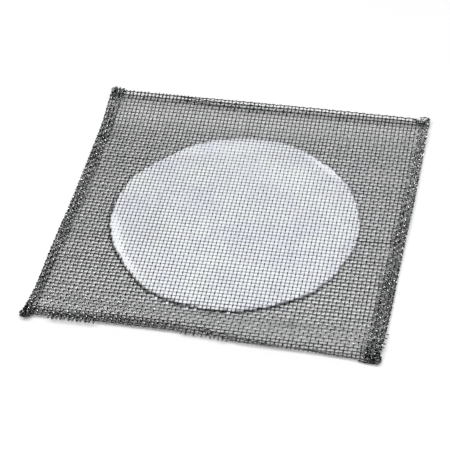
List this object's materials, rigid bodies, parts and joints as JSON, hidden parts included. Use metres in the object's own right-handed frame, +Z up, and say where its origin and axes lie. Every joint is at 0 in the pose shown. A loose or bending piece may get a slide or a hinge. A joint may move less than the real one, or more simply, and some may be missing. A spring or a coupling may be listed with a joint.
{
  "type": "wire gauze",
  "caption": "Square laboratory wire gauze with turned hems and a round ceramic centre, laid over a burner stand to spread heat under a flask.",
  "frame": {"origin": "centre of the bounding box on the bench plane, under the middle of the ceramic", "axes": "+Z up out of the ceramic's upper face, +X along the cross wires to the right, +Y along the lengthwise wires to the back edge"},
  "size_m": [0.125, 0.1236, 0.0054],
  "materials": {
    "iron_wire": "dull dark iron wire with a thin oxide skin",
    "ceramic": "matte white unglazed ceramic with faint grey clouds"
  },
  "bodies": {
    "root": {"wire_sheet": "iron_wire", "ceramic_disc": "ceramic"}
  },
  "joints": []
}
